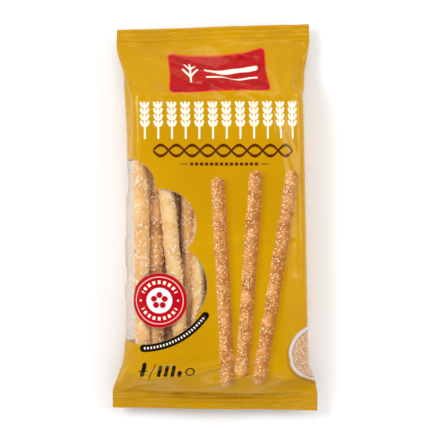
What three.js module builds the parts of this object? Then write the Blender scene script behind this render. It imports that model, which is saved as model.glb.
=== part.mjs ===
// A sealed pillow pack of breadsticks, lying on its back, as one closed solid.
//
// A flat tube of film is sealed across both ends and filled with a bed of sticks. Where it is
// filled, the tube rounds out and so gets narrower; at the two ribbed end seals it is flat and as
// wide as the tube's half girth, so the corners stand out like ears. The underside is flat where
// the sticks press it on the table, and the long back seam stands a little proud where it is free.
//
// Frame: +Z up, +X across the pack, +Y towards the pack's head, millimetres. The origin is the
// centre of the bounding box's bottom face.
import * as THREE from "three";
import { ParametricGeometry } from "three/addons/geometries/ParametricGeometry.js";
import { mergeVertices } from "three/addons/utils/BufferGeometryUtils.js";

// Driving dimensions.
const PACK_LENGTH = 280;
const FOOT_SEAL_WIDTH = 148; // the tube's flat width, which the foot seal keeps
const HEAD_SEAL_WIDTH = 141; // the head seal is gathered a little
const BODY_WIDTH = 131; // across the filled part
const BODY_HEIGHT = 33;
const FOOT_SEAL_LENGTH = 16;
const HEAD_SEAL_LENGTH = 13;

// The ribbed end seals.
const SEAL_THICKNESS = 0.8;
const SEAL_HEIGHT = 11.5; // of the sealed film above the table
const SEAL_DROOP = 2; // how far a seal's free edge hangs below its root
const RIB_PITCH = 3.2;
const RIB_DEPTH = 0.5;
const HEAD_SEAL_SKEW = 3.4; // the head's left corner sits this much lower than its right one
const FOOT_SEAL_SKEW = 1.8; // and the foot's left corner this much higher than its right one
const SEAL_WAVE_DEPTH = 1.3;
const SEAL_WAVE_LENGTH = 92;

// How the tube opens out from a seal to its full section.
const WIDTH_RUN = 26; // the length over which the ears draw in
const FOOT_RISE = 22; // the length over which the foot gets its full height: the sticks lie close to it
const HEAD_RISE = 42; // and the head, where the film is looser
const SHOULDER_POWER = 0.62; // under 1 makes the film rise steeply beside the seal
const FULL_SECTION = { bulge: 2.9, edge: 0.4 }; // a rounded box
const SEAL_SECTION = { bulge: 2, edge: 1 }; // a flat lens

// What shows of the filling and of the back seam.
const STICK_PITCH = 13;
const STICK_RELIEF = 0.55;
const STICK_LEAN = 0.035; // sticks lie slightly off the pack's axis
const BACK_SEAM_WIDTH = 12;
const BACK_SEAM_THICKNESS = 0.6;
const TABLE_CONTACT = 0.7; // film lower than this is pressed flat on the table

// Mesh fineness.
const TOP_STEPS = 28;
const EVEN_SPACING = 0.45; // the rest of the spacing crowds the points towards the two sides
const RIB_STEPS = 4;
const BODY_STEPS = 32;

const FOOT = -PACK_LENGTH / 2;
const HEAD = PACK_LENGTH / 2;
const FOOT_ROOT = FOOT + FOOT_SEAL_LENGTH;
const HEAD_ROOT = HEAD - HEAD_SEAL_LENGTH;

const mix = (from, to, share) => from + (to - from) * share;
const smooth = (share) => {
  const s = Math.min(Math.max(share, 0), 1);
  return s * s * (3 - 2 * s);
};

// How far a station is into the filled part, from either seal's root; negative inside a seal.
const reach = (y) => Math.min(y - FOOT_ROOT, HEAD_ROOT - y);

// The same as a share of the length over which that end gets its full height.
const rise = (y) => reach(y) / (y > 0 ? HEAD_RISE : FOOT_RISE);

// Stations along the pack: a few on each rib of the seals, and closer together near the seals.
function makeStations() {
  const rows = [];
  const footSteps = Math.round(FOOT_SEAL_LENGTH / RIB_PITCH) * RIB_STEPS;
  const headSteps = Math.round(HEAD_SEAL_LENGTH / RIB_PITCH) * RIB_STEPS;
  for (let i = 0; i < footSteps; i++) {
    rows.push(mix(FOOT, FOOT_ROOT, i / footSteps));
  }
  for (let i = 0; i < BODY_STEPS; i++) {
    const even = i / BODY_STEPS;
    const crowded = (1 - Math.cos(Math.PI * even)) / 2;
    rows.push(mix(FOOT_ROOT, HEAD_ROOT, mix(even, crowded, 0.6)));
  }
  for (let i = 0; i <= headSteps; i++) {
    rows.push(mix(HEAD_ROOT, HEAD, i / headSteps));
  }
  return rows;
}

const stations = makeStations();

function halfWidth(y) {
  const sealWidth = y > 0 ? HEAD_SEAL_WIDTH : FOOT_SEAL_WIDTH;
  return mix(sealWidth, BODY_WIDTH, smooth(reach(y) / WIDTH_RUN)) / 2;
}

// Zero at the two cut edges, so that the front and back film meet there.
function halfHeight(y) {
  if (y === FOOT || y === HEAD) return 0;
  const open = Math.min(Math.max(rise(y), 0), 1);
  const lift = Math.sin((Math.PI / 2) * open) ** SHOULDER_POWER;
  return mix(SEAL_THICKNESS, BODY_HEIGHT, lift) / 2;
}

function middleHeight(y) {
  const inSeal = Math.max(-reach(y), 0);
  const sealLength = y > 0 ? HEAD_SEAL_LENGTH : FOOT_SEAL_LENGTH;
  const rib = inSeal > 0 ? RIB_DEPTH * Math.sin((2 * Math.PI * inSeal) / RIB_PITCH) : 0;
  const sealed = SEAL_HEIGHT - (SEAL_DROOP * inSeal) / sealLength + rib;
  return mix(sealed, BODY_HEIGHT / 2, smooth(rise(y)));
}

// The long waves of a seal, which die out in the filled part.
function sealWave(x, y) {
  const phase = y > 0 ? 0.6 : 2.2;
  const fade = 1 - smooth(reach(y) / WIDTH_RUN);
  return SEAL_WAVE_DEPTH * fade * Math.sin((2 * Math.PI * x) / SEAL_WAVE_LENGTH + phase);
}

// The seals aren't quite square to the pack.
function skew(x, y) {
  const across = (x / (2 * halfWidth(y)) + 0.5) ** 2;
  const amount = y > 0 ? HEAD_SEAL_SKEW * (across - 1) : FOOT_SEAL_SKEW * (1 - across);
  return amount * (1 - smooth(rise(y)));
}

// Low ridges where the top layer of sticks pushes the film up.
function stickRelief(x, y, open) {
  const along = (x - STICK_LEAN * y) / STICK_PITCH;
  return STICK_RELIEF * open * Math.cos(2 * Math.PI * along);
}

// The surface: u goes once round the tube, over the top and back underneath, and v along it.
function film(u, v, target) {
  const y = stations[Math.round(v * (stations.length - 1))];
  const top = u <= 0.5;
  const angle = 2 * Math.PI * (top ? u : 1 - u);
  const across = mix(-Math.cos(angle), (2 * angle) / Math.PI - 1, EVEN_SPACING);
  const x = halfWidth(y) * across;
  const open = smooth(rise(y));
  const bulge = mix(SEAL_SECTION.bulge, FULL_SECTION.bulge, open);
  const edge = mix(SEAL_SECTION.edge, FULL_SECTION.edge, open);
  const inside = Math.max(1 - Math.abs(across) ** bulge, 0);
  const lift = halfHeight(y) * inside ** edge;
  let z = middleHeight(y) + sealWave(x, y) + (top ? lift : -lift);
  if (top) {
    z += stickRelief(x, y, open * inside);
  } else if (Math.abs(x) < BACK_SEAM_WIDTH / 2) {
    z -= BACK_SEAM_THICKNESS * Math.min(inside, reach(y) > 0 ? 1 : 0);
  }
  if (z < TABLE_CONTACT) z = 0;
  target.set(x, y + skew(x, y), z);
}

function closedGeometry() {
  const open = new ParametricGeometry(film, 2 * TOP_STEPS, stations.length - 1);
  open.deleteAttribute("normal");
  open.deleteAttribute("uv");
  const closed = mergeVertices(open, 1e-3);
  closed.computeVertexNormals();
  return closed;
}

const filmFinish = new THREE.MeshStandardMaterial({
  color: 0xd9a400,
  roughness: 0.35,
  metalness: 0,
});

const pack = new THREE.Mesh(closedGeometry(), filmFinish);
pack.name = "breadstick_pack";

const model = new THREE.Group();
model.add(pack);

export default model;
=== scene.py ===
# %% [markdown]
# # A film pack of sesame grissini
# The object is a pillow pack. One printed film is wrapped into a tube, sealed along its back and across both
# ends, and filled with rolled breadsticks. It lies on its back, with the printed front up and a clear window
# at the left. The CAD frame holds one solid for the whole pack, which gives its place and its outer size.
# This lesson replaces that solid with the film, the breadsticks and their sesame seeds.

# %% Load the packed frame
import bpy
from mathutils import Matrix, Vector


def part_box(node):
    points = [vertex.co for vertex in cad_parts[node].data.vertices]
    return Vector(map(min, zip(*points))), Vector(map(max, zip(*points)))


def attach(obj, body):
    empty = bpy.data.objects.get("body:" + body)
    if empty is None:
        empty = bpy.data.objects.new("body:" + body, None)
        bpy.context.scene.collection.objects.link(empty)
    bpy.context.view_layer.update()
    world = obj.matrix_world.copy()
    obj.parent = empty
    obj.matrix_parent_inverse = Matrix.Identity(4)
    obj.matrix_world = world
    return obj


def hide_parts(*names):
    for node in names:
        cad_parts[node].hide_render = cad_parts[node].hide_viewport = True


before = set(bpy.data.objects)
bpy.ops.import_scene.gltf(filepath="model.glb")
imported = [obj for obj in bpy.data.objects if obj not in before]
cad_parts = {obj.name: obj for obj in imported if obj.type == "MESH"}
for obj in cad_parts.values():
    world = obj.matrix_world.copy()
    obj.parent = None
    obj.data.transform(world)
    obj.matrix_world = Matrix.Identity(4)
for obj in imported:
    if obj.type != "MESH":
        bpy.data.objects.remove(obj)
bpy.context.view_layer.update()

# %% Libraries and units
import math

import bmesh
import bpy
import numpy as np
from mathutils import Matrix, Vector, noise
from mathutils.bvhtree import BVHTree

MM = 0.001
scene = bpy.context.scene

# %% [markdown]
# ## Camera, floor and light
# The pack is seen from straight above, so the camera looks down with the pack's head up. A long lens keeps
# the pack's sides out of sight, as in a catalogue picture. The floor is one large white sheet. Big soft
# lights all round draw the highlights that glossy film has on its folds, and a pale world fills the shadows.

# %% Camera
pack_low, pack_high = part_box("breadstick_pack")
LENS, SENSOR = 100, 36
VIEW_WIDTH, VIEW_MIDDLE_Y = 0.3096, 0.002
film_level = (pack_low.z + pack_high.z) / 2

camera = bpy.data.objects.new("camera", bpy.data.cameras.new("camera"))
camera.data.lens = LENS
camera.data.sensor_width = SENSOR
camera.location = (0, VIEW_MIDDLE_Y, film_level + VIEW_WIDTH * LENS / SENSOR)
scene.collection.objects.link(camera)
scene.camera = camera
print("camera height in metres:", round(camera.location.z, 3))

# %% Floor
def object_from(name, bm):
    """Turns a finished bmesh into a smooth object whose place is in its mesh."""
    mesh = bpy.data.meshes.new(name)
    bm.to_mesh(mesh)
    bm.free()
    mesh.shade_smooth()
    thing = bpy.data.objects.new(name, mesh)
    scene.collection.objects.link(thing)
    return thing


FLOOR_SIZE, FLOOR_WHITE = 3.0, 0.92

bm = bmesh.new()
bmesh.ops.create_grid(bm, x_segments=1, y_segments=1, size=FLOOR_SIZE)
floor = object_from("floor", bm)
floor_paint = bpy.data.materials.new("white_floor")
floor_paint.use_nodes = True
floor_shader = floor_paint.node_tree.nodes["Principled BSDF"]
floor_shader.inputs["Base Color"].default_value = (FLOOR_WHITE,) * 3 + (1,)
floor_shader.inputs["Roughness"].default_value = 0.9
floor.data.materials.append(floor_paint)
print("floor width in metres:", 2 * FLOOR_SIZE)

# %% Lights
def softbox(name, place, size, power, aim=(0, 0, 0.01)):
    """A square light that faces a point on the pack."""
    lamp = bpy.data.lights.new(name, "AREA")
    lamp.size = size
    lamp.energy = power
    thing = bpy.data.objects.new(name, lamp)
    thing.location = place
    thing.rotation_euler = (Vector(aim) - Vector(place)).to_track_quat("-Z", "Y").to_euler()
    scene.collection.objects.link(thing)


softbox("left_softbox", (-0.75, 0.35, 0.75), 0.45, 6.2)
softbox("right_softbox", (0.85, 0.2, 0.6), 0.5, 4.2)
softbox("head_softbox", (0.1, 0.9, 0.9), 0.5, 2.4)
softbox("foot_softbox", (0.0, -0.9, 0.7), 0.6, 2.5)

# The studio's walls are bright and its ceiling dark, so the flat front mirrors little and its folds glint.
WALL_LIGHT, CEILING_LIGHT = 0.66, 0.1
CEILING_EDGE, CEILING_MIDDLE = 0.8, 0.95
world = bpy.data.worlds.new("studio")
scene.world = world
world.use_nodes = True
sky = world.node_tree
direction = sky.nodes.new("ShaderNodeTexCoord")
height = sky.nodes.new("ShaderNodeSeparateXYZ")
fade = sky.nodes.new("ShaderNodeMapRange")
fade.interpolation_type = "SMOOTHSTEP"
for name, value in {
    "From Min": CEILING_EDGE, "From Max": CEILING_MIDDLE, "To Min": WALL_LIGHT, "To Max": CEILING_LIGHT,
}.items():
    fade.inputs[name].default_value = value
sky.links.new(direction.outputs["Generated"], height.inputs[0])
sky.links.new(height.outputs["Z"], fade.inputs["Value"])
sky.links.new(fade.outputs[0], sky.nodes["Background"].inputs["Strength"])
sky.nodes["Background"].inputs["Color"].default_value = (1, 1, 1, 1)
scene.view_settings.view_transform = "Standard"

# %% [markdown]
# ## Where the breadsticks lie
# A pack like this holds about 250 g: some 26 sticks, 10 to 12 mm thick and a little over 200 mm long. They
# are rolled by hand, so each has its own thickness, length and bend. Placing them all by hand would take
# long, so only the few sticks that the window shows get a chosen place. The others fill rows, and then all of
# them push each other apart, inside the rounded space that the film leaves, until they only touch.

# %% The sticks that the window shows
# For each: x and z of its foot end, then x and z of its head end, in millimetres.
seen_sticks = {
    "far_left": ((-62, 14), (-51, 13)),
    "left": ((-49, 25.5), (-54.5, 24)),
    "deep_left": ((-40, 24), (-43, 16)),
    "deep_middle": ((-28, 19), (-27, 16)),
    "leaning": ((-19, 26.5), (-44.5, 26)),
    "rising": ((-20, 16), (-23, 25)),
    "right": ((-12, 22), (-5, 25.5)),
}
seen_count = len(seen_sticks)
# The rows that fill the rest: number of sticks, first x, spacing and height, in millimetres.
filling_rows = [
    (9, -46, 11.6, 7),
    (6, -8, 11.5, 16),
    (5, 6, 11.2, 25.5),
]
print("chosen sticks:", seen_count, "others:", sum(row[0] for row in filling_rows))

# %% Ends, thickness and bend of every stick
dice = np.random.default_rng(3)
BUNDLE_MIDDLE_Y, SHIFT = -12, 2
HALF_LENGTHS, RADII = (100, 104), (5.1, 5.7)
LEAN, BEND = 1.4, (1.3, 0.5)
foot_ends, head_ends, radii = [], [], []


def lay_stick(foot, head):
    """Adds one stick between two (x, z) places, with a length and a thickness of its own."""
    half_length = dice.uniform(*HALF_LENGTHS)
    shift = BUNDLE_MIDDLE_Y + dice.uniform(-SHIFT, SHIFT)
    foot_ends.append((foot[0], shift - half_length, foot[1]))
    head_ends.append((head[0], shift + half_length, head[1]))
    radii.append(dice.uniform(*RADII))


for foot, head in seen_sticks.values():
    lay_stick(foot, head)
for count, first, spacing, height in filling_rows:
    for place in range(count):
        x = first + place * spacing
        lean = dice.normal(0, LEAN)
        lay_stick((x + lean, height), (x - lean, height))

foot_ends, head_ends, radii = map(np.array, (foot_ends, head_ends, radii))
stick_count = len(radii)
bends = dice.normal(0, BEND, (stick_count, 2))
print("sticks:", stick_count)

# %% Push the sticks apart
SECTIONS = np.linspace(0, 1, 11)
TURNS = 900
STICK_GAP, PUSH, WALL_PUSH, SINKING, HOLD = 0.15, 0.25, 0.6, 0.03, 0.008
# The space that the film leaves, at its foot and its head: wider at the foot, where the sticks have spread.
SPACE_HALF_WIDTHS, SPACE_HALF_HEIGHTS = (65.3, 62.6), (13.9, 15.2)
SPACE_FLOOR, SPACE_MIDDLE, SPACE_DRIFT = 1.3, 1.4, 0.6


def along(at_foot, at_head, share):
    """What lies at a share of the way from foot to head."""
    return at_foot * (1 - share) + at_head * share


def centre_line(share):
    """The (x, z) of every stick at a share of the way from foot to head, in millimetres."""
    straight = along(foot_ends[:, ::2], head_ends[:, ::2], share)
    return straight + bends * (1 - (2 * share - 1) ** 2)


def overlaps(centres, gap=0):
    """Which way each stick lies from each other one, and how far the two overlap."""
    apart = centres[:, None] - centres[None]
    distance = np.linalg.norm(apart, axis=-1) + 1e-9
    np.fill_diagonal(distance, np.inf)
    return apart / distance[..., None], radii[:, None] + radii[None] + gap - distance


wanted_feet, wanted_heads = foot_ends.copy(), head_ends.copy()
held = np.arange(stick_count) < seen_count
for turn in range(TURNS):
    foot_move = np.zeros((stick_count, 2))
    head_move = np.zeros((stick_count, 2))
    for share in SECTIONS:
        centres = centre_line(share)
        way, overlap = overlaps(centres, STICK_GAP)
        push = (way * np.maximum(overlap, 0)[..., None]).sum(1) * PUSH
        # The film's space is a long slot with round sides.
        half_height = along(*SPACE_HALF_HEIGHTS, share)
        straight = along(*SPACE_HALF_WIDTHS, share) - half_height
        middle = SPACE_MIDDLE - SPACE_DRIFT * share
        nearest_x = np.clip(centres[:, 0], middle - straight, middle + straight)
        out = centres - np.stack([nearest_x, np.full(stick_count, SPACE_FLOOR + half_height)], 1)
        reach = np.linalg.norm(out, axis=1) + 1e-9
        beyond = np.maximum(reach + radii - half_height, 0)
        push -= out / reach[:, None] * beyond[:, None] * WALL_PUSH
        push[:, 1] -= SINKING
        foot_move += push * (1 - share)
        head_move += push * share
    foot_ends[:, ::2] += foot_move * 2 / len(SECTIONS)
    head_ends[:, ::2] += head_move * 2 / len(SECTIONS)
    foot_ends[held] += (wanted_feet - foot_ends)[held] * HOLD
    head_ends[held] += (wanted_heads - head_ends)[held] * HOLD

worst = max(overlaps(centre_line(share))[1].max() for share in SECTIONS)
print("deepest overlap in mm:", round(float(worst), 2))
print("top of the bundle in mm:", round(float((np.maximum(foot_ends, head_ends)[:, 2] + radii).max()), 1))
for name, foot, head in zip(seen_sticks, foot_ends, head_ends):
    print(name, foot.round(1), head.round(1))

# %% [markdown]
# ## The film, cut and wrapped
# The film starts as one flat rectangle. It is wrapped round into a tube, and the tube is pressed flat at both
# ends. A bag like this could be drawn by hand, but its folds come from one fact: film doesn't stretch. So the
# rectangle is drawn first, as a grid. Its flat millimetres are kept as a UV map, because the print was made
# on the flat film and has to follow it into every fold. The same sheet, from 0 to 1, is the map that an
# export bakes the print into. The grid is then rolled into a closed pillow, which is only a starting shape,
# and a cloth simulation finds where real film would lie.

# %% The film's flat sizes, in millimetres
GIRTH = 300
FOOT_SEAL, BODY_FILM, HEAD_SEAL = 12, 280, 13
BODY_END = FOOT_SEAL + BODY_FILM
FILM_LENGTH = BODY_END + HEAD_SEAL
COLUMNS = 120
FOOT_ROWS, BODY_ROWS, HEAD_ROWS = 16, 112, 17

row_places = np.concatenate([
    np.linspace(0, FOOT_SEAL, FOOT_ROWS + 1),
    np.linspace(FOOT_SEAL, BODY_END, BODY_ROWS + 1)[1:],
    np.linspace(BODY_END, FILM_LENGTH, HEAD_ROWS + 1)[1:],
])
print("film rows:", len(row_places), "film columns:", COLUMNS)

# %% The pillow's sizes, in millimetres
FOOT_EDGE, HEAD_EDGE = pack_low.y / MM, pack_high.y / MM
FOOT_ROOT, HEAD_ROOT = FOOT_EDGE + FOOT_SEAL, HEAD_EDGE - HEAD_SEAL
FOOT_WIDTH, HEAD_WIDTH, BODY_WIDTH, BODY_HEIGHT = 150, 141, 134, 35
FOOT_SKEW, HEAD_SKEW, HEAD_SHIFT = 2.0, 4.4, -1.4
SEAL_LEVEL, SEAL_DROOP, FILM_GAP = 11.5, 2, 0.3
# How far from a seal the pillow has its full height, at the foot and at the head, and its full width.
FOOT_RUN, HEAD_RUN, WIDTH_RUN = 15, 38, 26
WAVE, CRUSH = 1.1, 1.9


def smooth(share):
    """0 to 1 with soft ends."""
    share = np.clip(share, 0, 1)
    return share * share * (3 - 2 * share)


def mix(start, end, share):
    return start + (end - start) * share


def crumple(x, y):
    """How far the pressed film waves up and down in its seals, in millimetres."""
    wave = WAVE * math.sin(x / 15 + (0.6 if y > 0 else 2.2))
    patch = smooth(noise.noise(Vector((x / 40, y, 8.0))) * 2 + 0.6)
    crush = noise.noise(Vector((x / 11, y / 9, 3.0))) * patch
    return wave + CRUSH * crush


print("pillow from", FOOT_EDGE, "to", HEAD_EDGE, "mm, with seals", FOOT_WIDTH, "and", HEAD_WIDTH, "mm wide")

# %% One row of the pillow
def section(half_width, half_height, bulge, edge):
    """Points round one cross-section, from its left edge over the top, and their shares of the way round."""
    across = -np.cos(np.linspace(0, math.pi, 300))
    rise = half_height * np.maximum(1 - np.abs(across) ** bulge, 0) ** edge
    top = np.stack([half_width * across, rise], 1)
    loop = np.concatenate([top, top[::-1][1:] * (1, -1)])
    way = np.concatenate([[0], np.cumsum(np.linalg.norm(np.diff(loop, axis=0), axis=1))])
    return loop, way / way[-1]


def pillow_row(place, round_shares):
    """Where the film at one place along its length lies in the starting pillow, in millimetres."""
    y = FOOT_EDGE + place
    if place > FOOT_SEAL:
        y = mix(FOOT_ROOT, HEAD_ROOT, (place - FOOT_SEAL) / BODY_FILM)
    if place > BODY_END:
        y = HEAD_EDGE - (FILM_LENGTH - place)
    at_foot = y < 0
    inside = max(min(y - FOOT_ROOT, HEAD_ROOT - y), 0)
    run = inside / (FOOT_RUN if at_foot else HEAD_RUN)
    seal_width = FOOT_WIDTH if at_foot else HEAD_WIDTH
    opening = math.sin(math.pi / 2 * min(run, 1)) ** 0.62
    open_here = 0 < place < FILM_LENGTH
    body = smooth(run)
    loop, way = section(
        mix(seal_width, BODY_WIDTH, smooth(inside / WIDTH_RUN)) / 2,
        mix(FILM_GAP, BODY_HEIGHT, opening) / 2 * open_here,
        mix(2, 2.9, body),
        mix(1, 0.4, body),
    )
    x = np.interp(round_shares, way, loop[:, 0]) + HEAD_SHIFT * smooth((y - 60) / 60)
    into_seal = max(FOOT_SEAL - place, place - BODY_END, 0) / FOOT_SEAL
    level = mix(SEAL_LEVEL - SEAL_DROOP * into_seal, BODY_HEIGHT / 2, body)
    z = np.interp(round_shares, way, loop[:, 1]) + level
    z += np.array([crumple(i, y) for i in x]) * (1 - body)
    tilt = FOOT_SKEW * (0.5 - x / seal_width) if at_foot else HEAD_SKEW * (x / seal_width - 0.25)
    return np.stack([x, y + tilt * (1 - smooth(inside / WIDTH_RUN)), z], 1)


middle_row = pillow_row(FILM_LENGTH / 2, np.linspace(0, 1, COLUMNS))
print("height of the pillow's middle in mm:", np.ptp(middle_row[:, 2]).round(1))

# %% Wrap the film
SIM_SCALE = 10 * MM
TUBE_RADIUS = GIRTH / (2 * math.pi)


def wrap_film():
    """The film as a closed pillow, ten times as large for the simulation, with its flat sheet as UV maps."""
    last_row = len(row_places) - 1
    bm = bmesh.new()
    bmesh.ops.create_grid(bm, x_segments=COLUMNS, y_segments=last_row, size=0.5)
    flat_map = bm.loops.layers.uv.new("flat_film")
    bake_map = bm.loops.layers.uv.new("OFBake")
    tube_place = bm.verts.layers.float_vector.new("tube_place")
    sealed = bm.verts.layers.float.new("sealed")
    rows = {}
    for vert in bm.verts:
        rows.setdefault(round((vert.co.y + 0.5) * last_row), []).append(vert)
    flat = {}
    for row, verts in rows.items():
        place = row_places[row]
        across = np.array([vert.co.x for vert in verts]) * GIRTH
        pillow = pillow_row(place, (across / GIRTH + 0.25) % 1)
        for vert, s, target in zip(verts, across, pillow):
            flat[vert] = (s, place)
            turn = (s / GIRTH + 0.25) * 2 * math.pi
            tube = Vector((-TUBE_RADIUS * math.cos(turn), place, TUBE_RADIUS * math.sin(turn)))
            vert[tube_place] = tube * SIM_SCALE
            vert[sealed] = float(place <= FOOT_SEAL or place >= BODY_END)
            vert.co = Vector(target) * SIM_SCALE
    for face in bm.faces:
        for loop in face.loops:
            s, place = flat[loop.vert]
            loop[flat_map].uv = (s, place)
            loop[bake_map].uv = (s / GIRTH + 0.5, place / FILM_LENGTH)
    back_seam = [vert for vert, (s, _) in flat.items() if abs(s) > GIRTH / 2 - 0.001]
    bmesh.ops.remove_doubles(bm, verts=back_seam, dist=1e-5)
    ends = [vert for row in (0, last_row) for vert in rows[row] if vert.is_valid]
    bmesh.ops.remove_doubles(bm, verts=ends, dist=1e-4)
    bmesh.ops.recalc_face_normals(bm, faces=bm.faces)
    open_edges = sum(not edge.is_manifold for edge in bm.edges)
    print("film faces:", len(bm.faces), "open edges:", open_edges)
    return object_from("printed_film", bm)


film = wrap_film()

# %% [markdown]
# ## The film settles round the sticks
# Blender's cloth stands for the film. Its rest shape is the plain round tube, so every length of film keeps
# its true size. The seals are pinned, a light pressure from outside lays it on the sticks, and it collides
# with the bundle of sticks, which grows into it. That gives what is hard to draw by hand: flat panels that
# stretch over the sticks, a steep shoulder at the foot, where the sticks have slid down, and loose folds
# towards the head. The simulation runs at ten times real size, where the solver's distances suit thin film.

# %% The bundle that the film collides with
FILM_CLEARANCE, END_CLEARANCE, BRIDGE_DIP = 0.6, 1.8, 0.5


def stick_line(stick, share):
    """A point on one stick's centre line, in millimetres."""
    straight = along(foot_ends[stick], head_ends[stick], share)
    sway = 1 - (2 * share - 1) ** 2
    return Vector(straight) + Vector((bends[stick][0] * sway, 0, bends[stick][1] * sway))


def end_round(share, length, radius):
    """1 along a stick, falling to 0 round its ends."""
    from_end = min(share, 1 - share) * length / radius
    return math.sqrt(max(1 - (1 - min(from_end, 1)) ** 2, 0))


def drawn_out(bm, rings, sides, straight):
    """Adds a sphere to bm. Gives each of its points, its share of the way along, and its turn round."""
    for vert in bmesh.ops.create_uvsphere(bm, u_segments=sides, v_segments=rings, radius=1)["verts"]:
        turn = math.atan2(vert.co.y, vert.co.x)
        even = math.asin(max(-1, min(1, vert.co.z))) / math.pi + 0.5
        yield vert, mix(even, (vert.co.z + 1) / 2, straight), turn


def plain_stick(bm, stick, swell):
    """Adds one smooth stick to bm, a little longer than the real one, and returns its points."""
    length = head_ends[stick][1] - foot_ends[stick][1] + 2 * END_CLEARANCE
    verts = []
    for vert, share, turn in drawn_out(bm, rings=16, sides=12, straight=0.5):
        thick = float((radii[stick] + swell) * end_round(share, length, radii[stick]))
        centre = stick_line(stick, share) + Vector((0, END_CLEARANCE * (2 * share - 1), 0))
        vert.co = centre + thick * Vector((math.cos(turn), 0, math.sin(turn)))
        verts.append(vert)
    return verts


bm = bmesh.new()
for stick in range(stick_count):
    plain_stick(bm, stick, FILM_CLEARANCE)
core_verts = [vert for stick in range(stick_count) for vert in plain_stick(bm, stick, -BRIDGE_DIP)]
within_hull = set(bmesh.ops.convex_hull(bm, input=core_verts)["geom_interior"])
bmesh.ops.delete(bm, geom=[vert for vert in core_verts if vert in within_hull], context="VERTS")
bmesh.ops.recalc_face_normals(bm, faces=bm.faces)
bmesh.ops.scale(bm, vec=(SIM_SCALE,) * 3, verts=bm.verts)
bundle = object_from("bundle_stand_in", bm)
print("bundle faces:", len(bundle.data.polygons))

# %% Cloth settings
LAST_FRAME, GROWN_FRAME = 45, 16
START_SIZE = (0.92, 0.92, 0.78)
TABLE_LEVEL, SKIN_OF_SOLIDS, SKIN_OF_FILM = 0.5, 0.004, 0.005
FILM_CLOTH = {
    "quality": 6, "mass": 0.05, "air_damping": 2, "tension_stiffness": 60, "compression_stiffness": 60,
    "shear_stiffness": 30, "bending_model": "ANGULAR", "bending_stiffness": 0.08, "bending_damping": 0.5,
    "vertex_group_mass": "seals", "pin_stiffness": 50, "use_pressure": True, "uniform_pressure_force": 0.5,
}


def numbers_of(items, name, width=1):
    """One property of all items of a mesh, as a row of numbers."""
    values = np.zeros(len(items) * width, np.float32)
    items.foreach_get(name, values)
    return values


def settle_film(film, bundle):
    """Runs the cloth, and returns where the film's points have settled, in millimetres."""
    tube = numbers_of(film.data.attributes["tube_place"].data, "vector", 3)
    sealed = numbers_of(film.data.attributes["sealed"].data, "value")
    film.shape_key_add(name="pillow")
    rest = film.shape_key_add(name="tube")
    rest.data.foreach_set("co", tube)
    pins = film.vertex_groups.new(name="seals")
    pins.add([int(i) for i in np.nonzero(sealed > 0.5)[0]], 1.0, "REPLACE")

    middle = BODY_HEIGHT / 2 * SIM_SCALE
    for frame_number, size in ((1, START_SIZE), (GROWN_FRAME, (1, 1, 1))):
        bundle.scale = size
        bundle.location = (0, 0, middle * (1 - size[2]))
        bundle.keyframe_insert("scale", frame=frame_number)
        bundle.keyframe_insert("location", frame=frame_number)
    bm = bmesh.new()
    bmesh.ops.create_grid(bm, x_segments=1, y_segments=1, size=3)
    table = object_from("table_stand_in", bm)
    table.location.z = TABLE_LEVEL * SIM_SCALE
    for solid in (bundle, table):
        solid.modifiers.new("Collision", "COLLISION")
        solid.collision.thickness_outer = SKIN_OF_SOLIDS
        solid.collision.cloth_friction = 1.0
    table.collision.use_culling = False

    cloth = film.modifiers.new("Cloth", "CLOTH")
    for name, value in FILM_CLOTH.items():
        setattr(cloth.settings, name, value)
    cloth.settings.rest_shape_key = rest
    cloth.settings.effector_weights.gravity = 0
    cloth.collision_settings.use_collision = True
    cloth.collision_settings.distance_min = SKIN_OF_FILM
    cloth.collision_settings.collision_quality = 3
    cloth.point_cache.frame_end = LAST_FRAME

    for frame_number in range(1, LAST_FRAME + 1):
        scene.frame_set(frame_number)
    evaluated = film.evaluated_get(bpy.context.evaluated_depsgraph_get())
    settled = numbers_of(evaluated.data.vertices, "co", 3)
    film.modifiers.clear()
    film.shape_key_clear()
    film.vertex_groups.clear()
    bpy.data.objects.remove(table)
    return settled.reshape(-1, 3) / SIM_SCALE


film_places = settle_film(film, bundle)
bpy.data.objects.remove(bundle)
print("film from", film_places.min(0).round(1), "to", film_places.max(0).round(1), "mm")

# %% [markdown]
# ## Clean up what the cloth left
# A cloth solver lets some points slip through a stick where the film is tight over a corner of the bundle.
# Tight film round a bundle takes the shape of its hull, so each point that lies under the hull of the sticks
# beside it is lifted to just below that hull, and then off any stick that it still touches. Its surroundings
# are smoothed in between. Then the two end seals get their ribs. On the real pack two hot ribbed bars press
# them in, through both layers at once, so here both layers move up and down together. Rows of faces lie close
# together in the seals, which keeps the ribs crisp, and one level of subdivision rounds the whole film.

# %% Lift the film off the sticks
SKIN_CLEARANCE, HULL_DIP = 0.7, 0.9
END_SLOPE, HULL_DIRECTIONS = 3.5, 72


def sections_beside(places):
    """Every stick's centre (x, z) beside each film point, and its radius there, which fades past its ends."""
    lengths = head_ends[:, 1] - foot_ends[:, 1]
    share = (places[:, 1, None] - foot_ends[:, 1]) / lengths
    kept = np.clip(share, 0, 1)
    return centre_line(kept[..., None]), radii - END_SLOPE * np.abs(share - kept) * lengths


def lift_to_hull(places):
    """Lifts the points under the hull of the sticks beside them, and tells which they were."""
    centres, reach = sections_beside(places)
    depth, way = np.full(len(places), np.inf), np.zeros((len(places), 2))
    for turn in np.linspace(0, 2 * math.pi, HULL_DIRECTIONS, endpoint=False):
        direction = np.array((math.cos(turn), math.sin(turn)))
        hull = (centres @ direction + reach).max(axis=1) - HULL_DIP
        under = hull - places[:, ::2] @ direction
        nearer = under < depth
        depth[nearer] = under[nearer]
        way[nearer] = direction
    inside = depth > 0
    places[inside, ::2] += (way * depth[:, None])[inside]
    return inside


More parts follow.
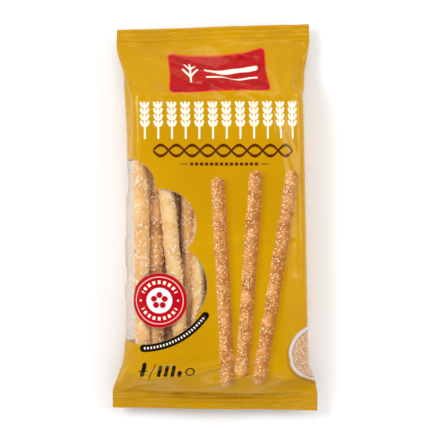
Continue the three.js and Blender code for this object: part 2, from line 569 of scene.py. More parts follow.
def lift_off_sticks(places):
    """Moves points away from the stick that they are deepest in, and tells which they were."""
    centres, reach = sections_beside(places)
    away = places[:, None, ::2] - centres
    distance = np.linalg.norm(away, axis=2)
    depths = reach + SKIN_CLEARANCE - distance
    point, stick = np.arange(len(places)), depths.argmax(axis=1)
    depth = depths[point, stick]
    inside = depth > 0
    step = away[point, stick] * (depth / distance[point, stick])[:, None]
    places[inside, ::2] += step[inside]
    return inside


def set_places(mesh, places):
    """Puts the mesh's points at these places, which are in millimetres."""
    mesh.vertices.foreach_set("co", (places * MM).astype(np.float32).ravel())
    mesh.update()


def neighbour_mean(places, ends):
    """The mean place of each point's neighbours; ends is the list of edges."""
    total, number = np.zeros_like(places), np.zeros(len(places))
    for a, b in ((0, 1), (1, 0)):
        np.add.at(total, ends[:, a], places[ends[:, b]])
        np.add.at(number, ends[:, a], 1)
    return total / number[:, None]


ends = np.zeros(len(film.data.edges) * 2, int)
film.data.edges.foreach_get("vertices", ends)
ends = ends.reshape(-1, 2)
# The wrapped faces look inwards, which made the pressure push the film in. From here on they face out.
film.data.flip_normals()
lifted = np.zeros(len(film_places), bool)
SMOOTH_TURNS, LAST_TURNS, SMOOTHING = 18, 4, 0.4
for turn in range(SMOOTH_TURNS + LAST_TURNS):
    lifted |= lift_to_hull(film_places)
    lifted |= lift_off_sticks(film_places)
    if turn < SMOOTH_TURNS:
        near = lifted.copy()
        near[ends[lifted[ends].any(axis=1)]] = True
        film_places[near] = mix(film_places, neighbour_mean(film_places, ends), SMOOTHING)[near]
film_places[:, 2] = np.maximum(film_places[:, 2], TABLE_LEVEL)
print("points lifted:", lifted.sum(), "still touching:", lift_off_sticks(film_places.copy()).sum())

# %% Press the ribs into the seals
RIB_PITCH, RIB_DEPTH, RIB_START = 3.5, 1.05, 1.5
flat_places = np.zeros((len(film_places), 2))
for loop, corner in zip(film.data.loops, film.data.uv_layers["flat_film"].uv):
    flat_places[loop.vertex_index] = corner.vector

into_seal = np.maximum(FOOT_SEAL - flat_places[:, 1], flat_places[:, 1] - BODY_END)
pressed = smooth(into_seal / RIB_START)
patchy = np.array([noise.noise(Vector((x / 18, y / 4, 1.0))) for x, y, _ in film_places])
rib = np.sin(2 * math.pi * into_seal / RIB_PITCH) * (0.75 + 0.9 * patchy)
film_places[:, 2] += RIB_DEPTH / 2 * rib * pressed
set_places(film.data, film_places)
for name in ("tube_place", "sealed"):
    film.data.attributes.remove(film.data.attributes[name])
rounding = film.modifiers.new("rounding", "SUBSURF")
rounding.levels = rounding.render_levels = 1
print("film box in mm:", film_places.min(0).round(1), film_places.max(0).round(1))

# %% [markdown]
# ## The fin seam along the back
# The tube is closed by pressing its two long edges together into a fin, which is then folded over flat. It
# lies under the pack, from one end seal to the other, so it is modelled as a thin strip just below the film.
# A grid is laid under the film's lowest points, and extruding it downwards gives it its thickness.

# %% Lay the fin seam
SEAM_WIDTH, SEAM_THICKNESS, SEAM_GAP = 11, 0.22, 0.08
SEAM_STEPS, SEAM_COLUMNS, SEAM_REACH, SEAM_WAVE = 130, 4, 2.5, 0.05
underside = film_places[np.abs(np.abs(flat_places[:, 0]) - GIRTH / 2) < SEAM_WIDTH]

bm = bmesh.new()
bmesh.ops.create_grid(bm, x_segments=SEAM_COLUMNS, y_segments=SEAM_STEPS, size=0.5)
for vert in bm.verts:
    x = (vert.co.x + 0.5) * SEAM_WIDTH
    y = mix(FOOT_EDGE + 1, HEAD_EDGE - 3, vert.co.y + 0.5)
    close = underside[np.abs(underside[:, 1] - y) < SEAM_REACH]
    level = close[:, 2].min() - SEAM_GAP + SEAM_WAVE * math.sin(2 * math.pi * y / 3)
    vert.co = Vector((x, y, max(level, SEAM_THICKNESS + 0.03)))
bmesh.ops.recalc_face_normals(bm, faces=bm.faces)
wall = bmesh.ops.extrude_face_region(bm, geom=bm.faces[:])
lower = [item for item in wall["geom"] if isinstance(item, bmesh.types.BMVert)]
bmesh.ops.translate(bm, vec=(0, 0, -SEAM_THICKNESS), verts=lower)
bmesh.ops.recalc_face_normals(bm, faces=bm.faces)
bmesh.ops.scale(bm, vec=(MM,) * 3, verts=bm.verts)
seam = object_from("back_fin_seam", bm)
print("fin seam faces:", len(seam.data.polygons))

# %% [markdown]
# ## The breadsticks
# Each grissino is a rope of dough, rolled by hand and baked until it is dry. It is never quite round or
# straight, its crust is blistered, and its ends are blunt. Every stick is a sphere drawn out along the
# stick's own line, like the plain ones above, but with finer rings and with noise that swells, dents and
# blisters its skin. The sticks behind the window are fine meshes. Those under the print are coarser, and
# stay inside the film.

# %% How well each stick is baked
baked_dice = np.random.default_rng(5)
well_baked = {
    "far_left": 0.48, "left": 0.52, "deep_left": 0.64, "deep_middle": 0.66,
    "leaning": 0.36, "rising": 0.50, "right": 0.42,
}
baked_shares = list(well_baked.values()) + list(baked_dice.normal(0.52, 0.07, stick_count - seen_count))
print("palest and darkest:", round(min(baked_shares), 2), round(max(baked_shares), 2))

# %% Roll one stick
# The height and the width of each kind of bump on the crust, in millimetres.
LUMP, BLISTER, GRAIN, SUNK = (0.42, 11), (0.3, 3.4), (0.1, 1.3), 0.12


def crust_height(place):
    """How far the crust stands out at a place, in millimetres."""
    lumps = LUMP[0] * noise.noise(place / LUMP[1])
    blisters = BLISTER[0] * abs(noise.noise(place / BLISTER[1]))
    grain = GRAIN[0] * noise.noise(place / GRAIN[1])
    return lumps + blisters + grain - SUNK


def stick_surface(stick, share, turn):
    """A point on a stick's skin, and the direction that points out of it there."""
    length = head_ends[stick][1] - foot_ends[stick][1]
    out = Vector((math.cos(turn), 0, math.sin(turn)))
    centre = stick_line(stick, share)
    own = Vector((31.7 * stick, 0, 0))
    thick = float(radii[stick]) * end_round(share, length, radii[stick] * 0.85)
    rough = crust_height(centre + own + out * thick) * min(thick / 2, 1)
    return centre + out * (thick + rough), out


def rolled_stick(bm, stick, rings, sides, baking):
    """Adds one stick with its uneven crust to bm, and writes down how well it is baked."""
    for vert, share, turn in drawn_out(bm, rings, sides, straight=0.35):
        vert.co = stick_surface(stick, share, turn)[0]
        vert[baking] = baked_shares[stick]


def stick_piece(name, sticks, rings, sides):
    """Rolls several sticks as one piece."""
    bm = bmesh.new()
    baking = bm.verts.layers.float.new("baking")
    for stick in sticks:
        rolled_stick(bm, stick, rings, sides, baking)
    bmesh.ops.recalc_face_normals(bm, faces=bm.faces)
    bmesh.ops.scale(bm, vec=(MM,) * 3, verts=bm.verts)
    piece = object_from(name, bm)
    print(name, "faces:", len(piece.data.polygons))
    return piece


# At the pack's left edge there is only air: the far left stick only kept that place open for the film.
window_sticks = stick_piece("window_sticks", range(1, seen_count), rings=130, sides=28)
covered_sticks = stick_piece("covered_sticks", range(seen_count, stick_count), rings=60, sides=14)

# %% [markdown]
# ## Sesame seeds
# The dough ropes are rolled in sesame before baking, so seeds stick all over, flat side down and turned every
# way. One seed is a small flattened drop, about 3 mm long: a sphere with very few faces, stretched, and
# narrowed towards one end. An Array modifier makes thousands of copies of it in one mesh, and each copy's
# points are then turned and moved to a place on a crust. A seed that would prick the film is left out. They
# are real mesh, because an export keeps meshes and drops scattered instances.

# %% One seed
SEED_LENGTH, SEED_WIDTH, SEED_THICKNESS = 2.9, 1.8, 0.95
SEEDS_ON_SEEN_STICK, SEEDS_ON_COVERED_STICK = 560, 35
SEED_TAPER, SEED_TILT, SEED_SIZES, SEED_RISE = 0.42, 0.14, (0.8, 1.1), 0.08

bm = bmesh.new()
bmesh.ops.create_uvsphere(bm, u_segments=6, v_segments=5, radius=0.5)
bmesh.ops.scale(bm, vec=(SEED_WIDTH, SEED_THICKNESS, SEED_LENGTH), verts=bm.verts)
for vert in bm.verts:
    narrow = 1 - SEED_TAPER * max(2 * vert.co.z / SEED_LENGTH, 0) ** 1.5
    vert.co.x *= narrow
seed_points = np.array([vert.co for vert in bm.verts])
seed = object_from("one_seed", bm)
print("faces of one seed:", len(seed.data.polygons))

# %% Press seeds into the crusts
seed_dice = np.random.default_rng(11)


def pressed_seed(stick, share, turn):
    """The points of one seed, half sunk into a stick's skin."""
    place, out = stick_surface(stick, share, turn)
    outwards = Vector((0, 1, 0)).rotation_difference(out).to_matrix()
    spin = Matrix.Rotation(seed_dice.uniform(0, 2 * math.pi), 3, "Y")
    tip = Matrix.Rotation(seed_dice.normal(0, SEED_TILT), 3, "X")
    turned = np.array(outwards @ spin @ tip) * seed_dice.uniform(*SEED_SIZES)
    return seed_points @ turned.T + np.array(place + out * SEED_RISE)


skin = BVHTree.FromObject(film, bpy.context.evaluated_depsgraph_get())


def inside_film(points):
    """True if a seed's points, in millimetres, all lie inside the film."""
    for point in points:
        place = Vector(point) * MM
        nearest, outwards, _, _ = skin.find_nearest(place)
        if (place - nearest).dot(outwards) > 0:
            return False
    return True


seed_places = []
for stick in range(1, stick_count):
    number = SEEDS_ON_SEEN_STICK if stick < seen_count else SEEDS_ON_COVERED_STICK
    for _ in range(number):
        share = seed_dice.uniform(0.01, 0.99)
        points = pressed_seed(stick, share, seed_dice.uniform(0, 2 * math.pi))
        if inside_film(points):
            seed_places.append(points)

copies = seed.modifiers.new("copies", "ARRAY")
copies.count = len(seed_places)
evaluated = seed.evaluated_get(bpy.context.evaluated_depsgraph_get())
many_seeds = bpy.data.meshes.new_from_object(evaluated)
set_places(many_seeds, np.concatenate(seed_places))
seeds = bpy.data.objects.new("sesame_seeds", many_seeds)
scene.collection.objects.link(seeds)
bpy.data.objects.remove(seed)
print("seeds:", len(seed_places), "faces:", len(many_seeds.polygons))

# %% [markdown]
# ## Node helpers
# The pack's print and the crust are made of shader nodes only, so that they stay sharp at any size and need
# no picture. Long node trees are easier to write as formulas. So a wire stands for one output of a node, and
# a sum or a product of wires places one math node. A small bench places all other nodes and joins them. What
# more than one material uses, or what is drawn many times, becomes a node group with named sockets.

# %% Wires that can be added and multiplied
def sign(operation, swapped=False):
    """What a sign such as + does: it places one math node for the wire and the other value."""
    def place(wire, *other):
        values = (*other, wire) if swapped else (wire, *other)
        return wire.bench.math(operation, *values)
    return place


class Wire:
    """One output of a node. Arithmetic with wires and numbers places math nodes."""

    def __init__(self, bench, socket):
        self.bench, self.socket = bench, socket

    __add__ = sign("ADD")
    __sub__, __rsub__ = sign("SUBTRACT"), sign("SUBTRACT", swapped=True)
    __mul__ = sign("MULTIPLY")
    __truediv__, __rtruediv__ = sign("DIVIDE"), sign("DIVIDE", swapped=True)
    __abs__ = sign("ABSOLUTE")


print("signs of a wire:", [name for name, value in vars(Wire).items() if callable(value)][1:])

# %% A bench for shader nodes
class NodeBench:
    """Places and joins nodes in one node tree."""

    def __init__(self, tree):
        self.tree = tree

    def node(self, kind, values, **settings):
        """Places a node with its settings. Each of its sockets in values is joined to a wire or set."""
        node = self.tree.nodes.new(kind)
        for name, value in settings.items():
            setattr(node, name, value)
        for key, value in values.items():
            if isinstance(value, Wire):
                self.tree.links.new(value.socket, node.inputs[key])
            else:
                node.inputs[key].default_value = value
        return node

    def wire(self, kind, values, output=0, **settings):
        """Places a node and returns one of its outputs."""
        return Wire(self, self.node(kind, values, **settings).outputs[output])

    def wires(self, node):
        """All outputs of a node, by name."""
        return {socket.name: Wire(self, socket) for socket in node.outputs}

    def math(self, operation, *values, clamp=False):
        return self.wire("ShaderNodeMath", dict(enumerate(values)), operation=operation, use_clamp=clamp)

    def vectors(self, operation, *values):
        output = "Value" if operation in ("LENGTH", "DISTANCE", "DOT_PRODUCT") else 0
        return self.wire("ShaderNodeVectorMath", dict(enumerate(values)), output, operation=operation)

    def scaled(self, place, factor):
        return self.wire("ShaderNodeVectorMath", {0: place, "Scale": factor}, operation="SCALE")

    def step(self, value, low, high, from_value=0.0, to_value=1.0):
        """Goes smoothly from one value to another while the input goes from low to high."""
        values = {"Value": value, "From Min": low, "From Max": high, "To Min": from_value, "To Max": to_value}
        return self.wire("ShaderNodeMapRange", values, "Result", interpolation_type="SMOOTHSTEP")

    def fall(self, value, low, high):
        """Goes smoothly from 1 to 0 while the input goes from low to high."""
        return self.step(value, low, high, 1, 0)

    def between(self, value, low, high, soft):
        """1 from low to high, and 0 outside, with a soft edge just above each of the two."""
        return self.step(value, low, low + soft) * self.fall(value, high, high + soft)

    def colours(self, share, first, second):
        """Mixes two colours, which are wires or three numbers each."""
        first, second = (given if isinstance(given, Wire) else (*given, 1) for given in (first, second))
        return self.wire("ShaderNodeMix", {"Factor": share, 6: first, 7: second}, 2, data_type="RGBA")

    def noise(self, place, scale, detail=2.0, rough=0.5, bend=0.0):
        values = {"Vector": place, "Scale": scale, "Detail": detail, "Roughness": rough, "Distortion": bend}
        return self.wire("ShaderNodeTexNoise", values, "Fac")

    def split(self, place):
        return [Wire(self, socket) for socket in self.node("ShaderNodeSeparateXYZ", {0: place}).outputs]

    def joined(self, x, y):
        return self.wire("ShaderNodeCombineXYZ", {0: x, 1: y})

    def group(self, tree, **inputs):
        """Places a node group; an input's name is its socket's name with _ for each space."""
        return self.wires(self.node("ShaderNodeGroup", spaced(inputs), node_tree=tree))

    def give(self, **outputs):
        """Ends a node group with what it puts out."""
        self.node("NodeGroupOutput", outputs)

    def object_place(self):
        """The place on the piece, in millimetres."""
        return self.scaled(self.wire("ShaderNodeTexCoord", {}, "Object"), 1000.0)

    def bump(self, height, distance, strength=1.0):
        return self.wire("ShaderNodeBump", {"Height": height, "Distance": distance, "Strength": strength})

    def shade(self, **inputs):
        """Ends a material with one Principled shader; a socket's name has _ for each space."""
        shader = self.wire("ShaderNodeBsdfPrincipled", spaced(inputs))
        self.node("ShaderNodeOutputMaterial", {"Surface": shader})


def spaced(inputs):
    return {name.replace("_", " "): value for name, value in inputs.items()}


def new_material(name, *pieces):
    """Starts a material and puts it on its pieces; returns its bench."""
    material = bpy.data.materials.new(name)
    material.use_nodes = True
    material.node_tree.nodes.clear()
    for piece in pieces:
        piece.data.materials.append(material)
    return NodeBench(material.node_tree)


print("bench methods:", len([name for name in vars(NodeBench) if not name.startswith("_")]))

# %% How a node group starts
def node_group(name, inputs, outputs):
    """Starts a shader node group; returns its tree, its bench and its inputs.

    An input's kind follows from its value: three numbers are a vector, and four are a colour.
    """
    kinds = {3: "NodeSocketVector", 4: "NodeSocketColor"}
    tree = bpy.data.node_groups.new(name, "ShaderNodeTree")
    for socket_name, value in inputs.items():
        kind = kinds[len(value)] if isinstance(value, tuple) else "NodeSocketFloat"
        socket = tree.interface.new_socket(socket_name, in_out="INPUT", socket_type=kind)
        socket.default_value = value
    for socket_name in outputs:
        kind = kinds[4] if socket_name == "Color" else "NodeSocketFloat"
        tree.interface.new_socket(socket_name, in_out="OUTPUT", socket_type=kind)
    bench = NodeBench(tree)
    print("group:", name, "from", list(inputs), "to", outputs)
    return tree, bench, bench.wires(bench.node("NodeGroupInput", {}))


ORIGIN = (0, 0, 0)

# %% [markdown]
# ## Crust and seeds as groups
# The baked crust is drawn twice on this pack: on the real sticks behind the window, and on the three sticks
# that are printed on the film. Both come from the same two groups. Baked crust is pale gold where it was
# doughy and shaded, and brown where it touched the hot air: slow noise sets those patches, fine noise gives
# pores and crumbs. Printed seeds are a Voronoi pattern, with one pale drop in most of its cells.

# %% Baked crust group
baked_crust, bench, given = node_group(
    "baked_crust",
    {"Place": ORIGIN, "Pale": (0.98, 0.68, 0.30, 1), "Golden": (0.89, 0.48, 0.15, 1),
     "Brown": (0.52, 0.20, 0.04, 1), "Baking": 0.5},
    ("Color", "Roughness", "Height"))
patches = bench.noise(given["Place"], 0.06, 3, 0.55, 0.6)
pores = bench.noise(given["Place"], 0.55, 4, 0.6)
crumbs = bench.noise(given["Place"], 1.6, 3, 0.7)
baked = patches + pores * 0.35 + (given["Baking"] - 0.5)
light_half = bench.colours(bench.step(baked, 0.45, 0.72), given["Pale"], given["Golden"])
crust_colour = bench.colours(bench.step(baked, 0.70, 0.98), light_half, given["Brown"])
specks = bench.step(crumbs, 0.62, 0.74, 0, 0.45)
bench.give(
    Color=bench.colours(specks, crust_colour, given["Brown"]),
    Roughness=bench.step(pores, 0.3, 0.7, 0.62, 0.85),
    Height=pores + crumbs * 0.5)

# %% Seed speckle group
seed_speckle, bench, given = node_group(
    "seed_speckle", {"Place": ORIGIN, "Spacing": 2.4, "Seed Size": 0.34, "Share": 0.75}, ("Mask",))
wobble = bench.noise(given["Place"], 0.4, 1)
wobbled = bench.vectors("ADD", given["Place"], bench.joined(wobble, wobble))
cells = bench.node("ShaderNodeTexVoronoi", {"Vector": wobbled, "Scale": 1.0 / given["Spacing"]}, feature="F1")
cells = bench.wires(cells)
in_seed = bench.fall(cells["Distance"], given["Seed Size"] * 0.8, given["Seed Size"])
kept = bench.math("LESS_THAN", bench.split(cells["Color"])[0], given["Share"])
bench.give(Mask=in_seed * kept)

# %% [markdown]
# ## The shapes that the print is made of
# A film like this is printed flat, before it is a bag, so its print is drawn in flat millimetres: across the
# pack from the middle of the front, and along it from the middle of its length. Each printed thing is the
# distance to a simple shape, turned into a mask with a soft edge of about half a millimetre. There is no
# lettering: the places of the words hold wheat ears, a twist and small dashes.

# %% Disc and bar groups
SOFT_EDGE = 0.3

disc_shape, bench, given = node_group(
    "disc_shape", {"Place": ORIGIN, "Centre": ORIGIN, "Radius": 1.0}, ("Mask",))
distance = bench.vectors("DISTANCE", given["Place"], given["Centre"])
bench.give(Mask=bench.fall(distance - given["Radius"], -SOFT_EDGE, SOFT_EDGE))

bar_shape, bench, given = node_group(
    "bar_shape",
    {"Place": ORIGIN, "Start": ORIGIN, "End": (0, 1, 0), "Half Width": 1.0, "Softness": SOFT_EDGE},
    ("Mask", "Across"))
line = bench.vectors("SUBTRACT", given["End"], given["Start"])
offset = bench.vectors("SUBTRACT", given["Place"], given["Start"])
length = bench.vectors("LENGTH", line)
share = bench.vectors("DOT_PRODUCT", offset, line) / (length * length)
share_kept = bench.math("MINIMUM", bench.math("MAXIMUM", share, 0.0), 1.0)
distance = bench.vectors("DISTANCE", offset, bench.scaled(line, share_kept))
line_x, line_y, _ = bench.split(line)
sideways = bench.vectors("DOT_PRODUCT", offset, bench.joined(line_y * -1.0, line_x))
bench.give(
    Mask=bench.fall(distance - given["Half Width"], given["Softness"] * -1.0, given["Softness"]),
    Across=sideways / length)

# %% Label group
label_shape, bench, given = node_group(
    "label_shape", {"Place": ORIGIN, "Half Size": (10, 5, 0), "Corner": 3.6}, ("Mask", "Outline"))
folded = bench.vectors("ABSOLUTE", given["Place"])
inner = bench.vectors("SUBTRACT", given["Half Size"], bench.joined(given["Corner"], given["Corner"]))
out = bench.vectors("MAXIMUM", bench.vectors("SUBTRACT", folded, inner), ORIGIN)
beyond = bench.vectors("LENGTH", out) - given["Corner"]
bench.give(Mask=bench.fall(beyond, -SOFT_EDGE, SOFT_EDGE), Outline=bench.fall(beyond, 0.6, 1.2))

# %% Wheat ear group
GRAIN_STEP, GRAIN_LENGTH, GRAIN_WIDTH, GRAIN_LEAN = 4.4, 3.1 / 1.25, 1.1, math.radians(26)
GRAIN_FROM_STALK, GRAINS_START = 1.95, 8.7

wheat_row, bench, given = node_group(
    "wheat_row", {"Place": ORIGIN, "Pitch": 9.5, "Height": 26.0, "Length": 114.0}, ("Mask",))
x, y, _ = bench.split(given["Place"])
side = abs((bench.math("FRACT", x / given["Pitch"]) - 0.5) * given["Pitch"])
stalk = bench.fall(side, 0.45, 0.85)
grain_x = side - GRAIN_FROM_STALK
grain_y = bench.math("FRACT", y / GRAIN_STEP) * GRAIN_STEP - GRAIN_STEP / 2
along = grain_x * math.sin(GRAIN_LEAN) + grain_y * math.cos(GRAIN_LEAN)
across = grain_x * math.cos(GRAIN_LEAN) - grain_y * math.sin(GRAIN_LEAN)
round_grain = bench.vectors("LENGTH", bench.joined(along / GRAIN_LENGTH, across / GRAIN_WIDTH))
grains = bench.fall(round_grain, 0.85, 1.1) * bench.step(y, GRAINS_START, GRAINS_START + 0.2)
in_row = bench.between(x, 0, given["Length"], 0.2)
in_height = bench.between(y, 0, given["Height"], 0.5)
bench.give(Mask=bench.math("MAXIMUM", stalk, grains) * in_row * in_height)

# %% Dash ring group
dash_ring, bench, given = node_group(
    "dash_ring",
    {"Place": ORIGIN, "Radius": 13.2, "Half Width": 1.3, "Dashes": 24.0, "Filled": 0.6},
    ("Mask", "Turn"))
x, y, _ = bench.split(given["Place"])
turn = bench.math("ARCTAN2", y, x)
from_ring = abs(bench.vectors("LENGTH", given["Place"]) - given["Radius"])
on_ring = bench.fall(from_ring - given["Half Width"], -0.2, 0.2)
in_dash = abs(bench.math("FRACT", turn / (2 * math.pi) * given["Dashes"]) - 0.5)
dash = bench.fall(in_dash - given["Filled"] * 0.5, -0.06, 0.06)
bench.give(Mask=on_ring * dash, Turn=turn)

# %% Printed stick group
printed_stick, bench, given = node_group(
    "printed_stick", {"Place": ORIGIN, "Start": ORIGIN, "End": (0, -1, 0)}, ("Mask", "Color", "Shadow"))
place, ends = given["Place"], {"Start": given["Start"], "End": given["End"]}
wave = bench.noise(place, 0.07, 2) - 0.5
wavy_place = bench.vectors("ADD", place, bench.joined(wave * 1.6, 0.0))
bar = bench.group(bar_shape, Place=wavy_place, Half_Width=4.8, **ends)
turned_away = bench.step(bar["Across"], -2.5, 5.2)
crust = bench.group(
    baked_crust, Place=bench.scaled(place, 2.2), Baking=turned_away * 0.22 + 0.60,
    Pale=(0.82, 0.47, 0.20, 1), Golden=(0.64, 0.29, 0.085, 1), Brown=(0.40, 0.14, 0.03, 1))
speckle = bench.group(seed_speckle, Place=place, Spacing=1.4, Seed_Size=0.40, Share=0.8)
seed_shade = bench.colours(turned_away, (0.94, 0.72, 0.42), (0.78, 0.42, 0.16))
seeded = bench.colours(speckle["Mask"] * 0.85, crust["Color"], seed_shade)
shadow_place = bench.vectors("SUBTRACT", place, (3.6, -1.0, 0))
shadow = bench.group(bar_shape, Place=shadow_place, Half_Width=3.4, Softness=3.4, **ends)
bench.give(
    Mask=bar["Mask"],
    Color=bench.colours(turned_away * turned_away * 0.55, seeded, (0.30, 0.105, 0.02)),
    Shadow=shadow["Mask"])

# %% Film wrinkle group
film_wrinkle, bench, given = node_group("film_wrinkle", {"Place": ORIGIN, "Depth": 0.25}, ("Height",))
stretched = bench.vectors("MULTIPLY", given["Place"], (1.0, 0.55, 1.0))
folds = bench.noise(stretched, 0.055, 3, 0.5, 1.2)
sharp = bench.step(abs(folds - 0.5), 0.0, 0.07)
fine = bench.noise(given["Place"], 0.22, 2, 0.5, 0.5)
bench.give(Height=(sharp * 0.6 + fine * 0.4) * given["Depth"])

# %% [markdown]
# ## The print, layer by layer
# A printer lays the print down in layers, and so does this material: mustard first, then the soft shadows
# and the three sticks, a bowl of sesame at the right edge, the red label, the white row of wheat, a brown
# twist with a line of dashes under it, and last the round seal, its dark band and the small marks at the
# foot. Each layer is one mix of the colour so far and the new colour, through that layer's mask.

# %% Start the film's material
bench = new_material("printed_film", film)
flat_place = bench.wire("ShaderNodeUVMap", {}, uv_map="flat_film")
# The film is taken up a little as it wrinkles, so the print is drawn that much longer than it looks.
PRINT_MIDDLE, TAKE_UP = (-1.1, 152.5, 0), (1.018, 1.109, 1)
print_place = bench.vectors("DIVIDE", bench.vectors("SUBTRACT", flat_place, PRINT_MIDDLE), TAKE_UP)


def moved(centre, turn=0.0):
    """The place on the print as seen from a centre, turned by an angle in degrees."""
    offset = bench.vectors("SUBTRACT", print_place, (*centre, 0))
    values = {"Vector": offset, "Angle": math.radians(-turn)}
    return bench.wire("ShaderNodeVectorRotate", values, rotation_type="Z_AXIS")


def bar(start, end, half_width, place=print_place):
    start, end = (*start, 0), (*end, 0)
    return bench.group(bar_shape, Place=place, Start=start, End=end, Half_Width=half_width)["Mask"]


def disc(centre, radius):
    return bench.group(disc_shape, Place=print_place, Centre=(*centre, 0), Radius=radius)["Mask"]


def around(centre, radius, turn):
    """The point on a circle at an angle in radians."""
    return centre[0] + radius * math.cos(turn), centre[1] + radius * math.sin(turn)


def paint(mask, ink):
    """Prints one more layer over the colour so far."""
    global colour
    colour = bench.colours(mask, colour, ink)


MUSTARD, MUSTARD_DEEP, MUSTARD_PALE = (0.54, 0.278, 0.001), (0.47, 0.23, 0.001), (0.58, 0.304, 0.001)
WHITE, BROWN_INK, BLACK_INK = (0.95, 0.88, 0.73), (0.09, 0.014, 0.001), (0.006, 0.003, 0.001)
RED, RED_DEEP, RED_EDGE = (0.47, 0.001, 0.010), (0.38, 0.001, 0.008), (0.70, 0.07, 0.015)
tint = bench.step(bench.noise(print_place, 0.012, 2), 0.35, 0.65)
colour = bench.colours(0.55, bench.colours(tint, MUSTARD_DEEP, MUSTARD_PALE), MUSTARD)
print("print starts with mustard")

# %% Printed sticks and their shadows
STICK_SHADOW = (0.40, 0.16, 0.001)
printed_lines = [
    {"Start": (0.9, 24.0, 0), "End": (8.6, -116, 0)},
    {"Start": (27.6, 28.8, 0), "End": (18.4, -109.2, 0)},
    {"Start": (53.2, 28.8, 0), "End": (30.4, -113.6, 0)},
]
printed_sticks = [bench.group(printed_stick, Place=print_place, **line) for line in printed_lines]
for printed in printed_sticks:
    paint(printed["Shadow"] * 0.75, STICK_SHADOW)
for printed in printed_sticks:
    paint(printed["Mask"], printed["Color"])
print("printed sticks:", len(printed_sticks))

# %% Bowl of sesame
BOWL, BOWL_RADIUS = (71.5, -96.5), 20.2
BOWL_SHADOW, BOWL_INSIDE = (0.36, 0.15, 0.002), (0.30, 0.20, 0.14)
CHINA, CHINA_LIGHT = (0.56, 0.50, 0.47), (0.66, 0.60, 0.56)
sesame = bench.group(seed_speckle, Place=print_place, Spacing=1.15, Seed_Size=0.42, Share=0.9)
paint(disc((BOWL[0] - 1, BOWL[1] - 2), BOWL_RADIUS + 0.8) * 0.6, BOWL_SHADOW)
paint(disc(BOWL, BOWL_RADIUS), CHINA)
paint(disc(BOWL, BOWL_RADIUS - 1.2), CHINA_LIGHT)
paint(disc(BOWL, BOWL_RADIUS - 2.6), BOWL_INSIDE)
paint(disc(BOWL, BOWL_RADIUS - 3.2), bench.colours(sesame["Mask"], (0.50, 0.29, 0.16), (0.78, 0.57, 0.38)))
print("bowl radius in mm:", BOWL_RADIUS)

# %% Red label with plain lines
LABEL_HALF_SIZE, LABEL_CORNER, LABEL_DIP = (36.3, 15.6, 0), 3.8, 2.6
label_place = moved((3.6, 106.0), 1.6)
label_x, label_y, _ = bench.split(label_place)
from_middle = label_x / 36.0
dip = (1.0 - from_middle * from_middle) * bench.step(label_y, -2, 14, 0, LABEL_DIP)
dipped = bench.joined(label_x, label_y + dip)
label = bench.group(label_shape, Place=dipped, Half_Size=LABEL_HALF_SIZE, Corner=LABEL_CORNER)
paint(label["Outline"], RED_EDGE)
label_red = bench.colours(bench.step(bench.noise(print_place, 0.09, 2), 0.35, 0.65), RED_DEEP, RED)
paint(label["Mask"], label_red)
label_lines = [((-21, -7), (-21, 7.5), 0.65)]
label_lines += [((-21, low), (-21 + side * reach, high), 0.65)
                for low, high, reach in ((-4, 1.5, 5.5), (1, 5.5, 4)) for side in (-1, 1)]
label_lines += [((-9, 2.2), (29, 2.2), 1.7), ((-9, -4.6), (29, -4.6), 0.6)]
for start, end, half_width in label_lines:
    paint(bar(start, end, half_width, label_place), WHITE)
print("label lines:", len(label_lines))

# %% White row of wheat
WHEAT_PITCH, WHEAT_HEIGHT, WHEAT_EARS = 9.6, 26.2, 12
wheat_place = moved((-55.2, 55.2), 0.3)
wheat = bench.group(
    wheat_row, Place=wheat_place, Pitch=WHEAT_PITCH, Height=WHEAT_HEIGHT, Length=WHEAT_PITCH * WHEAT_EARS)
paint(wheat["Mask"], WHITE)
print("wheat ears:", WHEAT_EARS)

# %% Brown twist and the dashes under it
TWIST_TURN, TWIST_LENGTH, TWIST_SWING = 22, 99.0, 3.8
DASH_PITCH, DASH_ROW_LENGTH, DASH_ROW_Y = 3.5, 48.8, 38.0
twist_x, twist_y, _ = bench.split(moved((-44.6, 47.4)))
in_length = bench.between(twist_x, 0, TWIST_LENGTH, 0.5)
for phase in (0, math.pi):
    swing = bench.math("SINE", twist_x * (2 * math.pi / TWIST_TURN) + phase)
    paint(bench.fall(abs(twist_y - swing * TWIST_SWING), 0.7, 1.5) * in_length, BROWN_INK)
dash_x, dash_y, _ = bench.split(moved((-18.6, DASH_ROW_Y)))
in_dash = bench.fall(bench.math("FRACT", dash_x / DASH_PITCH), 0.6, 0.72)
in_row = bench.fall(abs(dash_y), 0.9, 1.3) * bench.between(dash_x, 0, DASH_ROW_LENGTH, 0.3)
paint(in_dash * in_row, BROWN_INK)
for start in (-25, 31.6):
    paint(bar((start, DASH_ROW_Y), (start + 4.6, DASH_ROW_Y), 0.3), BROWN_INK)
print("twist length in mm:", TWIST_LENGTH)

# %% Round seal over the window
SEAL, SEAL_RADIUS, SEAL_DASH_RING = (-39.9, -58.4), 19.6, 13.1
SEAL_LINE, SEAL_MIDDLE = (0.95, 0.62, 0.55), (0.86, 0.86, 0.86)
PETALS, PETAL_RING, PETAL_RADIUS = 5, 4, 2.2
seal_mask = disc(SEAL, SEAL_RADIUS)
paint(seal_mask, RED)
paint(disc(SEAL, 17.1) - disc(SEAL, 16.55), SEAL_LINE)
ring = bench.group(
    dash_ring, Place=moved(SEAL), Radius=SEAL_DASH_RING, Half_Width=1.25, Dashes=22.0, Filled=0.52)
turn = abs(ring["Turn"])
at_sides = bench.math("MAXIMUM", bench.fall(turn, 0.42, 0.46), bench.step(turn, 2.68, 2.72))
paint(ring["Mask"] * (1.0 - at_sides), WHITE)
for side in (-1, 1):
    paint(disc((SEAL[0] + side * 13.2, SEAL[1]), 0.7), WHITE)
paint(disc(SEAL, 9.1), SEAL_MIDDLE)
